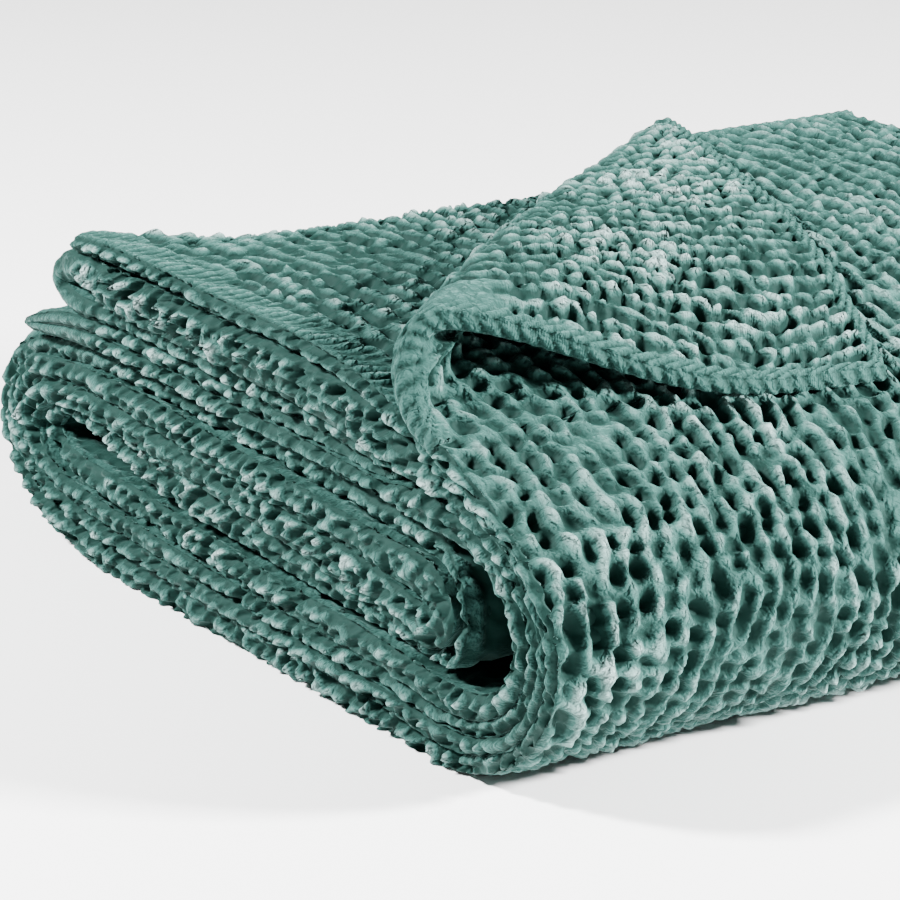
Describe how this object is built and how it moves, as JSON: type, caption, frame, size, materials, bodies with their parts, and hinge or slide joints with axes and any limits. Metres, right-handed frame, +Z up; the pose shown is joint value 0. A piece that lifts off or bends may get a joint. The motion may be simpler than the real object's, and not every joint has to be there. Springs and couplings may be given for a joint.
{
  "type": "folded throw blanket",
  "caption": "Puffy waffle-weave cotton throw, folded into a thick bundle with one corner turned back, for laying on a bed, sofa or shelf.",
  "frame": {"origin": "centre of the bundle's bounding box, on the surface it rests on", "axes": "+Z up, +X towards the smooth fold side, -Y towards the side where the layers' edges show"},
  "size_m": [0.5198, 0.4684, 0.209],
  "materials": {
    "cotton_waffle": "matt washed cotton, sage green, puffy waffle weave"
  },
  "bodies": {
    "root": {"blanket": "cotton_waffle"}
  },
  "joints": []
}
